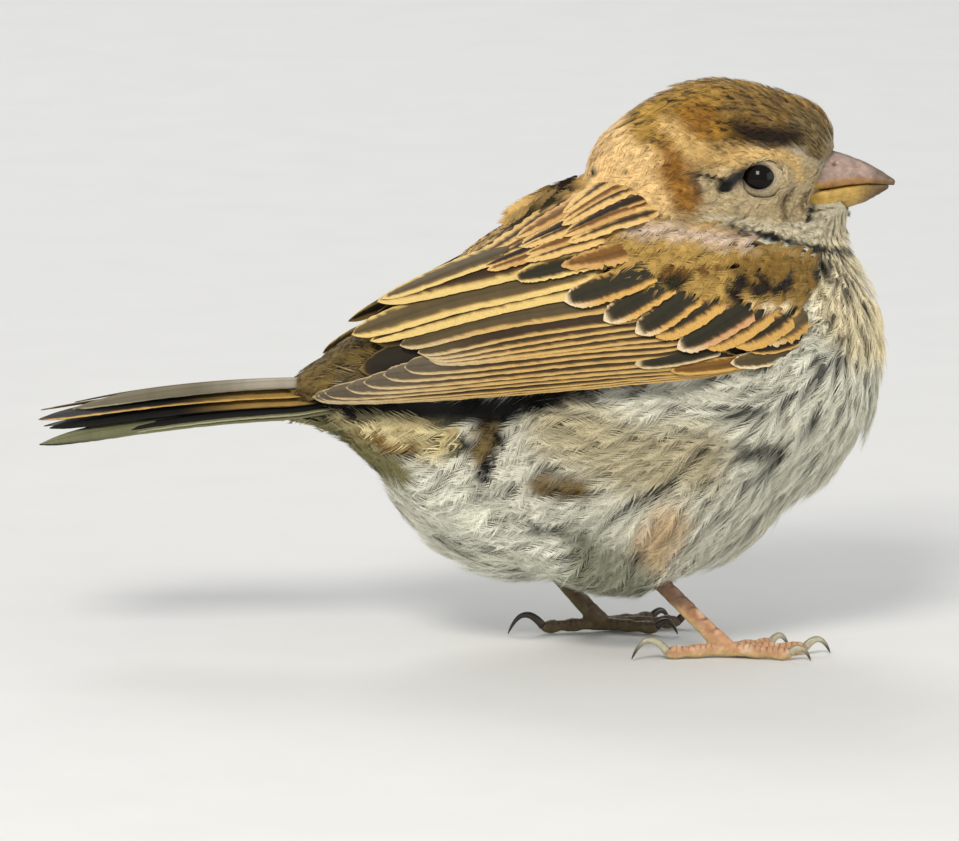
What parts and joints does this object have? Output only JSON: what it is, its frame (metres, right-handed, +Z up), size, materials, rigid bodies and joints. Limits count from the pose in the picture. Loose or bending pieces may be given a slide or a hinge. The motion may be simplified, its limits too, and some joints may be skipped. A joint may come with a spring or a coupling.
{
  "type": "house sparrow",
  "caption": "Life-size standing house sparrow with fluffed plumage, folded wings, a short conical bill and a closed tail.",
  "frame": {"origin": "on the ground under the middle of the bird's outline", "axes": "+X the way the bird faces, +Y its left side, +Z up"},
  "size_m": [0.1274, 0.0462, 0.0861],
  "materials": {
    "plumage_brown": "matte streaked feathers",
    "plumage_grey": "matte soft feathers",
    "wing_feathers": "satin flight feathers with pale edges",
    "tail_feathers": "satin flight feathers with pale edges",
    "bill_horn": "satin horn",
    "eye": "wet gloss",
    "leg_skin": "scaled satin skin",
    "claw_horn": "satin horn"
  },
  "bodies": {
    "root": {"head": "plumage_brown", "neck": "plumage_brown", "trunk": "plumage_grey", "rump": "plumage_brown", "undertail": "plumage_grey", "thigh_right": "plumage_grey", "thigh_left": "plumage_grey", "wing_right_coverts": "wing_feathers", "wing_right_scapulars": "wing_feathers", "wing_right_tertials": "wing_feathers", "wing_right_secondaries": "wing_feathers", "wing_right_primaries": "wing_feathers", "wing_left_coverts": "wing_feathers", "wing_left_scapulars": "wing_feathers", "wing_left_tertials": "wing_feathers", "wing_left_secondaries": "wing_feathers", "wing_left_primaries": "wing_feathers", "tail_right": "tail_feathers", "tail_left": "tail_feathers", "upper_bill": "bill_horn", "lower_bill": "bill_horn", "eye_right": "eye", "eye_left": "eye", "tarsus_right": "leg_skin", "toe_back_right": "leg_skin", "toe_inner_right": "leg_skin", "toe_middle_right": "leg_skin", "toe_outer_right": "leg_skin", "tarsus_left": "leg_skin", "toe_back_left": "leg_skin", "toe_inner_left": "leg_skin", "toe_middle_left": "leg_skin", "toe_outer_left": "leg_skin", "claw_back_right": "claw_horn", "claw_inner_right": "claw_horn", "claw_middle_right": "claw_horn", "claw_outer_right": "claw_horn", "claw_back_left": "claw_horn", "claw_inner_left": "claw_horn", "claw_middle_left": "claw_horn", "claw_outer_left": "claw_horn"}
  },
  "joints": []
}
